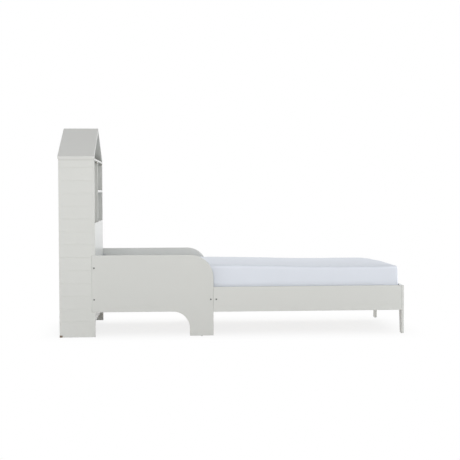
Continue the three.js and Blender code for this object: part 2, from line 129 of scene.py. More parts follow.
# How square the cover stands, from 0 on the CAD mattress to 1 on its box, and how slack its long edges are
COVER_FULLNESS = 0.5
SIDE_SLACKNESS = 0.45
SIDE_SLACKNESS_SPAN = (0.012, 0.037)
END_TAUTNESS_SPAN = (0.02, 0.14)
COVER_SMOOTHING = 3
COVER_SMOOTHING_SHARE = 0.5
COVER_LEAN = 0.005
COVER_LEAN_HEIGHT = 0.035

# The cover's cloth simulation
COVER_PRESSURE = 4.0
COVER_SLACK = 0.012
COVER_CAP = 0.005
COVER_FRAMES = 20
COVER_QUALITY = 4
COVER_HELD_HEIGHT = 0.03

# How far the top rises and sinks, and between which places along or across the bed
HEAD_RISE = 0.0135
HEAD_RISE_SPAN = (-0.2, 0.72)
FOOT_SINK = 0.004
FOOT_SINK_SPAN = (0.1, 0.7)
CORNER_SINK = 0.008
CORNER_SINK_ALONG = (0.96, 1.08)
CORNER_SINK_ACROSS = (0.05, 0.42)

# The painted highlight along the cover's rounded top edge, by how far its surface faces up
COVER_EDGE_HIGHLIGHT = 0.06
EDGE_HIGHLIGHT_START = (0.06, 0.3)
EDGE_HIGHLIGHT_END = (0.88, 0.998)

# The sewn seams up the cover's corners
SEAM_INSET = 0.012
SEAM_STEP = 0.008
SEAM_REACH = 0.05
STITCH_SPACING = 0.0065
STITCH_LENGTH = 0.0045
STITCH_WIDTH = 0.0011

# Screws; a share is a part of the head's diameter
SCREW_DIAMETER = 0.0075
SCREW_HEIGHT = 0.0012
SCREW_SLOT = 0.0011
SCREW_CROWN_SHARE = 0.36
SCREW_SLOT_SHARE = 0.5
SLAT_SCREW_HEIGHT = 0.00025
SLAT_SCREW_INSET = 0.022
LEDGER_SCREW_PITCH = 0.2
LEDGER_SCREW_INSET = 0.035

# The back panel's nails
NAIL_PITCH = 0.12
NAIL_INSET = 0.004
NAIL_LINE_START = 0.02
NAIL_LINE_INSET = 0.06
NAIL_DIAMETER = 0.0042
NAIL_HEIGHT = 0.0012

# Corner brackets; a share is a part of the bracket's height or leg
BRACKET_LEG = 0.022
BRACKET_HEIGHT = 0.034
BRACKET_THICKNESS = 0.0022
BRACKET_TOP = 0.494
BRACKET_BEVEL = 0.0006
BRACKET_SCREW_DIAMETER = 0.0065
BRACKET_SCREW_DROP_SHARES = (0.25, 0.75)
BRACKET_SCREW_LEG_SHARE = 0.6

# Shelf blocks; the slope runs from the shoulder's share of the height to the foot's share of the side
BLOCK_LENGTH = 0.010
BLOCK_SIDE = 0.010
BLOCK_HEIGHT = 0.014
BLOCK_SETBACKS = (0.0015, 0.17)
BLOCK_SHOULDER_SHARE = 0.3
BLOCK_FOOT_SHARE = 0.45
BLOCK_BEVEL = 0.001
BLOCK_SCREW_DIAMETER = 0.0055

# Between a fitting and the board that it lies on
SMALL_GAP = 0.0003


# Node trees


def add_node(tree, kind, inputs=None, **settings):
    """Adds a node, with each input given a value or the output that feeds it."""
    made = tree.nodes.new(kind)
    for name, value in settings.items():
        setattr(made, name, value)
    for key, value in (inputs or {}).items():
        if isinstance(value, bpy.types.NodeSocket):
            tree.links.new(value, made.inputs[key])
        else:
            made.inputs[key].default_value = value
    return made


def math_of(tree, operation, *values):
    return add_node(tree, "ShaderNodeMath", dict(enumerate(values)), operation=operation).outputs[0]


def scaled(tree, value, by, plus=0.0):
    """A value times one number, with another added."""
    return math_of(tree, "MULTIPLY_ADD", value, by, plus)


def vector_of(tree, operation, *values):
    return add_node(tree, "ShaderNodeVectorMath", dict(enumerate(values)), operation=operation).outputs


def fade(tree, value, start, end, low=0.0, high=1.0):
    """Runs smoothly from low to high as a value goes from start to end."""
    inputs = {"Value": value, "From Min": start, "From Max": end, "To Min": low, "To Max": high}
    return add_node(tree, "ShaderNodeMapRange", inputs, interpolation_type="SMOOTHSTEP").outputs[0]


def mix_colours(tree, share, first, second, blend_type="MIX"):
    """Mixes two colours, which a mix node takes at sockets 6 and 7 and gives out at 2."""
    inputs = {0: share, 6: first, 7: second}
    return add_node(tree, "ShaderNodeMix", inputs, data_type="RGBA", blend_type=blend_type).outputs[2]


def mix_numbers(tree, share, first, second):
    """Mixes two numbers, which a mix node takes at sockets 2 and 3 and gives out at 0."""
    inputs = {0: share, 2: first, 3: second}
    return add_node(tree, "ShaderNodeMix", inputs, data_type="FLOAT").outputs[0]


def shade(tree, colour, tone):
    """A colour made lighter or darker by a tone about 1."""
    grey = add_node(tree, "ShaderNodeCombineXYZ", {0: tone, 1: tone, 2: tone}).outputs[0]
    return mix_colours(tree, 1.0, colour, grey, blend_type="MULTIPLY")


def noise_of(tree, vector, scale, detail=2.0, roughness=0.5):
    inputs = {"Vector": vector, "Scale": scale, "Detail": detail, "Roughness": roughness}
    return add_node(tree, "ShaderNodeTexNoise", inputs).outputs["Fac"]


def new_group(name, kind, inputs, outputs):
    """A node group. Inputs are name: (socket type, value), and outputs are name: socket type."""
    group = bpy.data.node_groups.new(name, kind)
    for socket, (socket_type, value) in inputs.items():
        made = group.interface.new_socket(socket, in_out="INPUT", socket_type=socket_type)
        if value is not None:
            made.default_value = value
    for socket, socket_type in outputs.items():
        group.interface.new_socket(socket, in_out="OUTPUT", socket_type=socket_type)
    return group, add_node(group, "NodeGroupInput").outputs, add_node(group, "NodeGroupOutput").inputs


def place_group(tree, group, **values):
    """Puts a shader node group in a material; an underscore in a name stands for a space."""
    inputs = {name.replace("_", " "): value for name, value in values.items()}
    return add_node(tree, "ShaderNodeGroup", inputs, node_tree=group).outputs


# Node groups

FLOAT = "NodeSocketFloat"
VECTOR = "NodeSocketVector"


def eased_edge_group():
    """A mask of a board's eased edges, where its surface turns away from an axis."""
    inputs = {"Axis": (VECTOR, (0, 0, 1))}
    group, given, out = new_group("eased_edge", "ShaderNodeTree", inputs, {"Edge": FLOAT})
    normal = add_node(group, "ShaderNodeTexCoord").outputs["Normal"]
    facing = math_of(group, "ABSOLUTE", vector_of(group, "DOT_PRODUCT", normal, given["Axis"])["Value"])
    turned = fade(group, facing, start=0.25, end=0.5)
    not_face = fade(group, facing, start=0.85, end=0.97, low=1.0, high=0.0)
    group.links.new(math_of(group, "MULTIPLY", turned, not_face), out["Edge"])
    return group


def roller_paint_group():
    """Satin paint laid by roller: a fine stipple and a slow drift in tone and sheen."""
    inputs = {"Stipple Size": (FLOAT, 0.0016), "Tone Spread": (FLOAT, 0.03)}
    outputs = {"Tone": FLOAT, "Sheen": FLOAT, "Height": FLOAT}
    group, given, out = new_group("roller_paint", "ShaderNodeTree", inputs, outputs)
    place = add_node(group, "ShaderNodeTexCoord").outputs["Object"]
    fineness = math_of(group, "DIVIDE", 1.0, given["Stipple Size"])
    stipple = noise_of(group, place, scale=fineness, detail=3.0, roughness=0.6)
    drift = noise_of(group, place, scale=2.3, detail=3.0)
    patches = noise_of(group, place, scale=17.0)
    mottle = scaled(group, patches, by=0.35, plus=scaled(group, drift, by=0.65))
    centred = math_of(group, "SUBTRACT", mottle, 0.5)
    group.links.new(scaled(group, centred, by=given["Tone Spread"], plus=1.0), out["Tone"])
    group.links.new(math_of(group, "SUBTRACT", patches, 0.5), out["Sheen"])
    group.links.new(stipple, out["Height"])
    return group


def floor_scuffs_and_shade_group():
    """A mask of the scuffs where boards meet the floor, which also paints shade there."""
    inputs = {"Reach": (FLOAT, 0.035)}
    group, given, out = new_group("floor_scuffs_and_shade", "ShaderNodeTree", inputs, {"Mask": FLOAT})
    place = add_node(group, "ShaderNodeTexCoord").outputs["Object"]
    height = add_node(group, "ShaderNodeSeparateXYZ", {0: place}).outputs["Z"]
    span = {"Value": height, "From Min": 0.0, "From Max": given["Reach"]}
    raised = add_node(group, "ShaderNodeMapRange", span).outputs[0]
    near_floor = math_of(group, "SUBTRACT", 1.0, raised)
    patches = noise_of(group, place, scale=60.0, detail=4.0, roughness=0.65)
    broken = fade(group, patches, start=0.42, end=0.66)
    group.links.new(math_of(group, "MULTIPLY", near_floor, broken), out["Mask"])
    return group


def eaves_shade_group():
    """A mask of painted shade: a soft grey line in the corner that the eaves make with the walls."""
    inputs = {"Eaves Height": (FLOAT, 1.0), "Reach": (FLOAT, 0.013)}
    group, given, out = new_group("eaves_painted_shade", "ShaderNodeTree", inputs, {"Mask": FLOAT})
    place = add_node(group, "ShaderNodeTexCoord").outputs["Object"]
    height = add_node(group, "ShaderNodeSeparateXYZ", {0: place}).outputs["Z"]
    below = math_of(group, "SUBTRACT", given["Eaves Height"], height)
    reached = math_of(group, "DIVIDE", below, given["Reach"])
    close = fade(group, reached, start=0.4, end=1.0, low=1.0, high=0.0)
    under = math_of(group, "GREATER_THAN", reached, 0.0)
    patchy = scaled(group, noise_of(group, place, scale=40.0, detail=3.0), by=0.3, plus=0.85)
    dusty = math_of(group, "MULTIPLY", close, under)
    group.links.new(math_of(group, "MULTIPLY", dusty, patchy), out["Mask"])
    return group


def timber_grain_group():
    """Planed softwood with its grain along X: growth rings, fibres and a few knots."""
    inputs = {"Place": (VECTOR, (0, 0, 0)), "Ring Width": (FLOAT, 0.006)}
    outputs = {"Rings": FLOAT, "Fibres": FLOAT, "Knots": FLOAT}
    group, given, out = new_group("timber_grain", "ShaderNodeTree", inputs, outputs)
    stretched = vector_of(group, "MULTIPLY", given["Place"], RING_STRETCH)["Vector"]
    sway = noise_of(group, stretched, scale=9.0)
    knot_centres = add_node(group, "ShaderNodeTexVoronoi", {"Vector": stretched, "Scale": 5.5}).outputs
    knots = fade(group, knot_centres["Distance"], start=0.05, end=0.14, low=1.0, high=0.0)
    parts = add_node(group, "ShaderNodeSeparateXYZ", {0: stretched}).outputs
    across = scaled(group, parts["Z"], by=0.6, plus=parts["Y"])
    swayed = scaled(group, sway, by=0.05, plus=across)
    bent = scaled(group, knots, by=0.012, plus=swayed)
    rings = math_of(group, "PINGPONG", bent, given["Ring Width"])
    dark_rings = math_of(group, "DIVIDE", rings, given["Ring Width"])
    drawn = vector_of(group, "MULTIPLY", given["Place"], FIBRE_STRETCH)["Vector"]
    fibres = noise_of(group, drawn, scale=900.0)
    group.links.new(math_of(group, "POWER", dark_rings, 3.0), out["Rings"])
    group.links.new(fibres, out["Fibres"])
    group.links.new(knots, out["Knots"])
    return group


def woven_cloth_group():
    """A plain weave on the cloth's own UV map, which is in metres."""
    inputs = {"Thread Width": (FLOAT, 0.0008)}
    outputs = {"Height": FLOAT, "Tone": FLOAT}
    group, given, out = new_group("woven_cloth", "ShaderNodeTree", inputs, outputs)
    place = add_node(group, "ShaderNodeUVMap", uv_map=COVER_UV).outputs[0]
    parts = add_node(group, "ShaderNodeSeparateXYZ", {0: place}).outputs
    counts = [math_of(group, "DIVIDE", parts[axis], given["Thread Width"]) for axis in ("X", "Y")]
    threads = [math_of(group, "SINE", math_of(group, "MULTIPLY", count, math.pi)) for count in counts]
    humps = [math_of(group, "ABSOLUTE", thread) for thread in threads]
    cells = [math_of(group, "FLOOR", count) for count in counts]
    over = math_of(group, "PINGPONG", math_of(group, "ADD", *cells), 1.0)
    weave = mix_numbers(group, over, *humps)
    drawn = vector_of(group, "MULTIPLY", place, SLUB_STRETCH)["Vector"]
    slubs = noise_of(group, drawn, scale=60.0)
    group.links.new(scaled(group, slubs, by=0.4, plus=weave), out["Height"])
    group.links.new(scaled(group, slubs, by=0.05, plus=0.975), out["Tone"])
    return group


def edge_highlight_group():
    """A painted highlight: the cloth made paler where its surface turns over the rounded top edge."""
    inputs = {"Strength": (FLOAT, 0.1)}
    group, given, out = new_group("painted_edge_highlight", "ShaderNodeTree", inputs, {"Tone": FLOAT})
    normal = add_node(group, "ShaderNodeTexCoord").outputs["Normal"]
    upward = add_node(group, "ShaderNodeSeparateXYZ", {0: normal}).outputs["Z"]
    turning = fade(group, upward, *EDGE_HIGHLIGHT_START)
    not_top = fade(group, upward, *EDGE_HIGHLIGHT_END, low=1.0, high=0.0)
    edge = math_of(group, "MULTIPLY", turning, not_top)
    group.links.new(scaled(group, edge, by=given["Strength"], plus=1.0), out["Tone"])
    return group


# Materials


def new_material(name, **shader_values):
    """A material with a Principled shader, whose plain values are set on its own sockets."""
    material = bpy.data.materials.new(name)
    material.use_nodes = True
    tree = material.node_tree
    shader = tree.nodes["Principled BSDF"]
    for socket, value in shader_values.items():
        shader.inputs[socket.replace("_", " ")].default_value = value
    return material, tree, shader


def bump(tree, shader, height, strength, distance=0.0002):
    inputs = {"Strength": strength, "Distance": distance, "Height": height}
    tree.links.new(add_node(tree, "ShaderNodeBump", inputs).outputs[0], shader.inputs["Normal"])


def painted_board(name, axis, tone=1.0):
    """Off-white paint under a thin clear coat, on boards whose eased edges turn away from the axis, darkened
    by painted shade under the eaves and near the floor.
    """
    material, tree, shader = new_material(name, Specular_IOR_Level=0.4, Coat_Weight=0.28, Coat_Roughness=0.07)
    paint = place_group(tree, groups["roller_paint"])
    edge = place_group(tree, groups["eased_edge"], Axis=axis)["Edge"]
    scuffs_and_shade = place_group(tree, groups["floor_scuffs_and_shade"])["Mask"]
    # The tone lightens or darkens the paint, which on the guard boards is painted light and shade
    worn_and_lit = scaled(tree, edge, by=0.02, plus=scaled(tree, paint["Tone"], by=tone))
    colour = shade(tree, PAINT_COLOUR, worn_and_lit)
    # Painted shade under the eaves, and scuffs with painted shade near the floor, darken the paint
    eaves_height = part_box("roof_board_near")[0].z
    eaves_shade = place_group(tree, groups["eaves_painted_shade"], Eaves_Height=eaves_height)["Mask"]
    marks = math_of(tree, "MAXIMUM", scaled(tree, scuffs_and_shade, by=0.18), scaled(tree, eaves_shade, by=0.2))
    marked_and_shaded = mix_colours(tree, marks, colour, SCUFF_AND_SHADE_COLOUR)
    tree.links.new(marked_and_shaded, shader.inputs["Base Color"])
    gloss = scaled(tree, paint["Sheen"], by=0.10, plus=0.44)
    rubbed = scaled(tree, edge, by=-0.08, plus=gloss)
    tree.links.new(scaled(tree, scuffs_and_shade, by=0.2, plus=rubbed), shader.inputs["Roughness"])
    bump(tree, shader, paint["Height"], strength=0.12)
    return material


def painted_hardboard():
    """Matt paint on thin hardboard, with the faint mesh of its screened rear."""
    material, tree, shader = new_material("painted_hardboard", Specular_IOR_Level=0.3)
    paint = place_group(tree, groups["roller_paint"], Stipple_Size=0.0022, Tone_Spread=0.05)
    colour = shade(tree, PAINT_COLOUR, paint["Tone"])
    tree.links.new(colour, shader.inputs["Base Color"])
    tree.links.new(scaled(tree, paint["Sheen"], by=0.12, plus=0.6), shader.inputs["Roughness"])
    source = add_node(tree, "ShaderNodeTexCoord").outputs
    parts = add_node(tree, "ShaderNodeSeparateXYZ", {0: source["Object"]}).outputs
    waves = [math_of(tree, "SINE", scaled(tree, parts[axis], by=MESH_WAVES)) for axis in ("Y", "Z")]
    mesh = math_of(tree, "MAXIMUM", *waves)
    facing = add_node(tree, "ShaderNodeSeparateXYZ", {0: source["Normal"]}).outputs["X"]
    on_rear = fade(tree, facing, start=-0.9, end=-0.5, low=1.0, high=0.0)
    pressed = math_of(tree, "MULTIPLY", mesh, on_rear)
    bump(tree, shader, scaled(tree, paint["Height"], by=0.4, plus=pressed), strength=0.2)
    return material


def planed_pine(name, turn):
    """Bare planed pine; turn brings the grain's direction onto X."""
    material, tree, shader = new_material(name, Specular_IOR_Level=0.3)
    place = add_node(tree, "ShaderNodeTexCoord").outputs["Object"]
    turned = add_node(tree, "ShaderNodeMapping", {"Vector": place, "Rotation": (0, 0, turn)}).outputs[0]
    grain = place_group(tree, groups["timber_grain"], Place=turned)
    ringed = mix_colours(tree, scaled(tree, grain["Rings"], by=0.45), PINE_COLOUR, PINE_DARK_COLOUR)
    knotted = mix_colours(tree, scaled(tree, grain["Knots"], by=0.8), ringed, KNOT_COLOUR)
    tone = scaled(tree, grain["Fibres"], by=0.16, plus=0.92)
    tree.links.new(shade(tree, knotted, tone), shader.inputs["Base Color"])
    tree.links.new(scaled(tree, grain["Rings"], by=-0.1, plus=0.62), shader.inputs["Roughness"])
    bump(tree, shader, math_of(tree, "ADD", grain["Fibres"], grain["Rings"]), strength=0.15)
    return material


def plated_steel(name, colour):
    """Dull plating with its faint crystal patches and handling marks."""
    material, tree, shader = new_material(name, Metallic=1.0)
    place = add_node(tree, "ShaderNodeTexCoord").outputs["Object"]
    crystals = add_node(tree, "ShaderNodeTexVoronoi", {"Vector": place, "Scale": 700.0}).outputs["Color"]
    value = add_node(tree, "ShaderNodeSeparateXYZ", {0: crystals}).outputs["X"]
    tone = scaled(tree, value, by=0.2, plus=0.9)
    tree.links.new(shade(tree, colour, tone), shader.inputs["Base Color"])
    marks = noise_of(tree, place, scale=350.0, detail=3.0)
    tree.links.new(scaled(tree, marks, by=0.25, plus=0.25), shader.inputs["Roughness"])
    bump(tree, shader, marks, strength=0.1, distance=0.0001)
    return material


def moulded_plastic(name, colour):
    """Moulded plastic with a fine grain."""
    material, tree, shader = new_material(name, Specular_IOR_Level=0.45)
    place = add_node(tree, "ShaderNodeTexCoord").outputs["Object"]
    grain = noise_of(tree, place, scale=1400.0, detail=3.0, roughness=0.6)
    tone = scaled(tree, noise_of(tree, place, scale=90.0), by=0.3, plus=0.85)
    tree.links.new(shade(tree, colour, tone), shader.inputs["Base Color"])
    tree.links.new(scaled(tree, grain, by=0.2, plus=0.42), shader.inputs["Roughness"])
    bump(tree, shader, grain, strength=0.25)
    return material


def cover_cloth(name, thread_width, colour):
    """Close-woven cotton with a soft nap, and a painted highlight along its rounded top edge."""
    nap = {"Sheen_Weight": 0.09, "Sheen_Roughness": 0.45}
    material, tree, shader = new_material(name, Specular_IOR_Level=0.2, **nap)
    cloth = place_group(tree, groups["woven_cloth"], Thread_Width=thread_width)
    place = add_node(tree, "ShaderNodeTexCoord").outputs["Object"]
    drift = scaled(tree, noise_of(tree, place, scale=3.0, detail=3.0), by=0.03, plus=0.985)
    # A painted highlight pales the cloth along the rounded top edge
    stretched = place_group(tree, groups["painted_edge_highlight"], Strength=COVER_EDGE_HIGHLIGHT)["Tone"]
    tone = math_of(tree, "MULTIPLY", math_of(tree, "MULTIPLY", cloth["Tone"], drift), stretched)
    tree.links.new(shade(tree, colour, tone), shader.inputs["Base Color"])
    tree.links.new(scaled(tree, cloth["Height"], by=-0.1, plus=0.92), shader.inputs["Roughness"])
    bump(tree, shader, cloth["Height"], strength=0.25)
    return material


# Studio


def place_camera():
    """The camera at the near side, a little towards the headboard."""
    data = bpy.data.cameras.new("camera")
    data.lens = CAMERA_LENS
    data.sensor_width = SENSOR_WIDTH
    camera = bpy.data.objects.new("camera", data)
    scene.collection.objects.link(camera)
    level = math.cos(CAMERA_TILT)
    ahead = Vector((
        math.sin(CAMERA_HEADING) * level,
        math.cos(CAMERA_HEADING) * level,
        -math.sin(CAMERA_TILT),
    ))
    camera.location = CAMERA_PLACE
    camera.rotation_mode = "QUATERNION"
    camera.rotation_quaternion = ahead.to_track_quat("-Z", "Y") @ Quaternion((0, 0, 1), CAMERA_ROLL)
    scene.camera = camera


def hang_lamp(name, place, target, size, power, colour):
    """A soft box that lights the bed and doesn't show in its paint."""
    data = bpy.data.lights.new(name, "AREA")
    data.shape = "RECTANGLE"
    data.size, data.size_y = size
    data.energy = power
    data.color = colour
    lamp = bpy.data.objects.new(name, data)
    scene.collection.objects.link(lamp)
    lamp.location = place
    lamp.rotation_mode = "QUATERNION"
    lamp.rotation_quaternion = (Vector(target) - Vector(place)).to_track_quat("-Z", "Y")
    lamp.visible_glossy = False


def light_world():
    """A plain sky that lights the bed and shows white to the camera and in reflections."""
    world = bpy.data.worlds.new("studio")
    world.use_nodes = True
    scene.world = world
    tree = world.node_tree
    tree.nodes.clear()
    ray = add_node(tree, "ShaderNodeLightPath").outputs
    seen = math_of(tree, "MAXIMUM", ray["Is Camera Ray"], ray["Is Glossy Ray"])
    seen = math_of(tree, "MAXIMUM", seen, ray["Is Transmission Ray"])
    strength = fade(tree, seen, start=0.0, end=1.0, low=SKY_STRENGTH, high=1.0)
    sky = add_node(tree, "ShaderNodeBackground", {"Color": WHITE, "Strength": strength})
    add_node(tree, "ShaderNodeOutputWorld", {"Surface": sky.outputs[0]})


def lay_floor():
    """A pale floor that shows white to the camera and keeps the bed's shadow."""
    mesh = bpy.data.meshes.new("floor")
    far = FLOOR_REACH
    mesh.from_pydata([(-far, -far, 0), (far, -far, 0), (far, far, 0), (-far, far, 0)], [], [(0, 1, 2, 3)])
    floor = bpy.data.objects.new("floor", mesh)
    scene.collection.objects.link(floor)
    material = bpy.data.materials.new("studio_floor")
    material.use_nodes = True
    tree = material.node_tree
    tree.nodes.clear()
    ray = add_node(tree, "ShaderNodeLightPath").outputs
    place = add_node(tree, "ShaderNodeTexCoord").outputs["Object"]
    parts = add_node(tree, "ShaderNodeSeparateXYZ", {0: place}).outputs
    near_across = fade(tree, math_of(tree, "ABSOLUTE", parts["Y"]), *SHADOW_ACROSS, low=1.0, high=0.0)
    near_along = fade(tree, math_of(tree, "ABSOLUTE", parts["X"]), *SHADOW_ALONG, low=1.0, high=0.0)
    near_bed = math_of(tree, "MULTIPLY", near_across, near_along)
    white = add_node(tree, "ShaderNodeEmission", {"Color": WHITE, "Strength": 1.0})
    glow = add_node(tree, "ShaderNodeEmission", {"Color": WHITE, "Strength": SHADOW_GLOW})
    lit = add_node(tree, "ShaderNodeBsdfDiffuse", {"Color": SHADOW_FLOOR_COLOUR})
    shadowed = add_node(tree, "ShaderNodeAddShader", {0: glow.outputs[0], 1: lit.outputs[0]})
    seen = add_node(tree, "ShaderNodeMixShader", {0: near_bed, 1: white.outputs[0], 2: shadowed.outputs[0]})
    bounced = add_node(tree, "ShaderNodeBsdfDiffuse", {"Color": FLOOR_COLOUR})
    shown = math_of(tree, "MAXIMUM", ray["Is Camera Ray"], ray["Is Glossy Ray"])
    surface = add_node(tree, "ShaderNodeMixShader", {0: shown, 1: bounced.outputs[0], 2: seen.outputs[0]})
    add_node(tree, "ShaderNodeOutputMaterial", {"Surface": surface.outputs[0]})
    mesh.materials.append(material)


# Pieces


def add_piece(name, mesh, material):
    """A finished piece of one material."""
    piece = bpy.data.objects.new(name, mesh)
    scene.collection.objects.link(piece)
    mesh.materials.clear()
    mesh.materials.append(material)
    finish_piece(piece)
    return piece


def finish_piece(piece):
    """Ties a piece to the bed's one body."""
    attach(piece, "root")


def baked(piece):
    """The piece's mesh with its modifiers applied, which then come off the piece."""
    bpy.context.view_layer.update()
    evaluated = piece.evaluated_get(bpy.context.evaluated_depsgraph_get())
    mesh = bpy.data.meshes.new_from_object(evaluated)
    piece.modifiers.clear()
    return mesh


def welded_copy(node):
    """A CAD node's mesh with its loose triangles joined."""
    mesh = frame["nodes"][node].data.copy()
    shell = bmesh.new()
    shell.from_mesh(mesh)
    bmesh.ops.remove_doubles(shell, verts=shell.verts, dist=WELD_DISTANCE)
    shell.to_mesh(mesh)
    shell.free()
    return mesh


def surface_of(mesh):
    """A mesh's surface, to find the point nearest to a place or the point that a line meets."""
    shell = bmesh.new()
    shell.from_mesh(mesh)
    surface = BVHTree.FromBMesh(shell)
    shell.free()
    return surface


# Small fittings


def heads_on_points_tree():
    """A cross-slotted screw head on each point, turned to face the point's way."""
    inputs = {
        "Points": ("NodeSocketGeometry", None),
        "Diameter": (FLOAT, SCREW_DIAMETER),
        "Height": (FLOAT, SCREW_HEIGHT),
        "Slot Width": (FLOAT, SCREW_SLOT),
        "Seed": ("NodeSocketInt", 1),
        "Finish": ("NodeSocketMaterial", None),
    }
    outputs = {"Mesh": "NodeSocketGeometry"}
    tree, given, out = new_group("heads_on_points", "GeometryNodeTree", inputs, outputs)
    radius = math_of(tree, "MULTIPLY", given["Diameter"], 0.5)
    crown = math_of(tree, "MULTIPLY", given["Diameter"], SCREW_CROWN_SHARE)
    head = add_node(tree, "GeometryNodeMeshCone", {
        "Vertices": 16, "Radius Bottom": radius, "Radius Top": crown, "Depth": given["Height"],
    })
    slot_length = math_of(tree, "MULTIPLY", given["Diameter"], SCREW_SLOT_SHARE)
    lift = add_node(tree, "ShaderNodeCombineXYZ", {2: given["Height"]}).outputs[0]
    slots = []
    for sizes in ((slot_length, given["Slot Width"]), (given["Slot Width"], slot_length)):
        size = add_node(tree, "ShaderNodeCombineXYZ", {0: sizes[0], 1: sizes[1], 2: given["Height"]})
        bar = add_node(tree, "GeometryNodeMeshCube", {"Size": size.outputs[0]})
        placed = add_node(tree, "GeometryNodeTransform", {"Geometry": bar.outputs[0], "Translation": lift})
        slots.append(placed.outputs[0])
    cut = add_node(tree, "GeometryNodeMeshBoolean", {"Mesh 1": head.outputs[0]}, operation="DIFFERENCE")
    for slot in slots:
        tree.links.new(slot, cut.inputs["Mesh 2"])
    facing = add_node(tree, "GeometryNodeInputNamedAttribute", {"Name": "facing"}, data_type="FLOAT_VECTOR")
    aligned = add_node(tree, "FunctionNodeAlignRotationToVector", {"Vector": facing.outputs[0]}, axis="Z")
    # A random number's greatest value is socket 3
    up_to_a_quarter = {3: math.pi / 2, "Seed": given["Seed"]}
    turn = add_node(tree, "FunctionNodeRandomValue", up_to_a_quarter, data_type="FLOAT")
    spin = add_node(tree, "ShaderNodeCombineXYZ", {2: turn.outputs[1]})
    twist = add_node(tree, "FunctionNodeEulerToRotation", {0: spin.outputs[0]})
    turned = add_node(tree, "FunctionNodeRotateRotation", {
        "Rotation": aligned.outputs[0], "Rotate By": twist.outputs[0],
    }, rotation_space="LOCAL")
    heads = add_node(tree, "GeometryNodeInstanceOnPoints", {
        "Points": given["Points"], "Instance": cut.outputs[0], "Rotation": turned.outputs[0],
    })
    joined = add_node(tree, "GeometryNodeRealizeInstances", {0: heads.outputs[0]})
    dressed = add_node(tree, "GeometryNodeSetMaterial", {0: joined.outputs[0], "Material": given["Finish"]})
    tree.links.new(dressed.outputs[0], out["Mesh"])
    return tree


def beads_along_path_tree():
    """Rounded beads at even spacing along a path, such as nail heads or stitches."""
    inputs = {
        "Path": ("NodeSocketGeometry", None),
        "Spacing": (FLOAT, 0.1),
        "Length": (FLOAT, 0.004),
        "Width": (FLOAT, 0.004),
        "Height": (FLOAT, 0.001),
        "Finish": ("NodeSocketMaterial", None),
    }
    outputs = {"Mesh": "NodeSocketGeometry"}
    tree, given, out = new_group("beads_along_path", "GeometryNodeTree", inputs, outputs)
    curve = add_node(tree, "GeometryNodeMeshToCurve", {"Mesh": given["Path"]})
    spacing = {"Curve": curve.outputs[0], "Length": given["Spacing"]}
    even = add_node(tree, "GeometryNodeResampleCurve", spacing, mode="LENGTH")
    ball = add_node(tree, "GeometryNodeMeshUVSphere", {"Segments": 8, "Rings": 5, "Radius": 0.5})
    size = add_node(tree, "ShaderNodeCombineXYZ", {0: given["Length"], 1: given["Width"], 2: given["Height"]})
    bead = add_node(tree, "GeometryNodeTransform", {"Geometry": ball.outputs[0], "Scale": size.outputs[0]})
    tangent = add_node(tree, "GeometryNodeInputTangent")
    facing = add_node(tree, "GeometryNodeInputNamedAttribute", {"Name": "facing"}, data_type="FLOAT_VECTOR")
    along = add_node(tree, "FunctionNodeAlignRotationToVector", {"Vector": tangent.outputs[0]}, axis="X")
    aligned = add_node(tree, "FunctionNodeAlignRotationToVector", {
        "Rotation": along.outputs[0], "Vector": facing.outputs[0],
    }, axis="Z", pivot_axis="X")
    beads = add_node(tree, "GeometryNodeInstanceOnPoints", {
        "Points": even.outputs[0], "Instance": bead.outputs[0], "Rotation": aligned.outputs[0],
    })
    joined = add_node(tree, "GeometryNodeRealizeInstances", {0: beads.outputs[0]})
    dressed = add_node(tree, "GeometryNodeSetMaterial", {0: joined.outputs[0], "Material": given["Finish"]})
    tree.links.new(dressed.outputs[0], out["Mesh"])
    return tree


def grown(name, tree, places, edges, material, slot, **values):
    """A piece that a geometry tree grows on points, each of which is (place, facing)."""
    seeds = bpy.data.meshes.new(name)
    seeds.from_pydata([place for place, _ in places], edges, [])
    facing = seeds.attributes.new("facing", "FLOAT_VECTOR", "POINT")
    for item, (_, way) in zip(facing.data, places):
        item.vector = way
    seedling = bpy.data.objects.new(f"{name}_points", seeds)
    scene.collection.objects.link(seedling)
    grow = seedling.modifiers.new("grow", "NODES")
    grow.node_group = tree
    sockets = {item.name: item.identifier for item in tree.interface.items_tree if item.in_out == "INPUT"}
    grow[sockets["Finish"]] = material
    for key, value in values.items():
        grow[sockets[key.replace("_", " ")]] = value
    mesh = baked(seedling)
    bpy.data.objects.remove(seedling)
    mesh.name = name
    return add_piece(name, mesh, material)


def spaced(start, end, pitch):
    """Even places from start to end, about a pitch apart, both ends included."""
    count = max(1, round(abs(end - start) / pitch))
    return [start + (end - start) * i / count for i in range(count + 1)]


def slat_screw_places():
    """Two screws through each end of each slat, in line with the ledger under it."""
    places = []
    slats = sorted(name for name in frame["nodes"] if name.startswith("slat_"))
    for side in ("near", "far"):
        low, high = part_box(f"rail_ledger_{side}")
        ledger_middle = (low.y + high.y) / 2
        for slat in slats:
            low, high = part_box(slat)
            for x in (low.x + SLAT_SCREW_INSET, high.x - SLAT_SCREW_INSET):
                places.append(((x, ledger_middle, high.z), (0, 0, 1)))
    return places


def ledger_screw_places():
    """A row of screws along the inner face of each ledger."""
    places = []
    for side, inward in (("near", 1), ("far", -1)):
        for ledger in (f"guard_ledger_{side}", f"rail_ledger_{side}"):
            low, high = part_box(ledger)
            face = high.y if inward > 0 else low.y
            middle = (low.z + high.z) / 2
            for x in spaced(low.x + LEDGER_SCREW_INSET, high.x - LEDGER_SCREW_INSET, LEDGER_SCREW_PITCH):
                places.append(((x, face, middle), (0, inward, 0)))
    return places


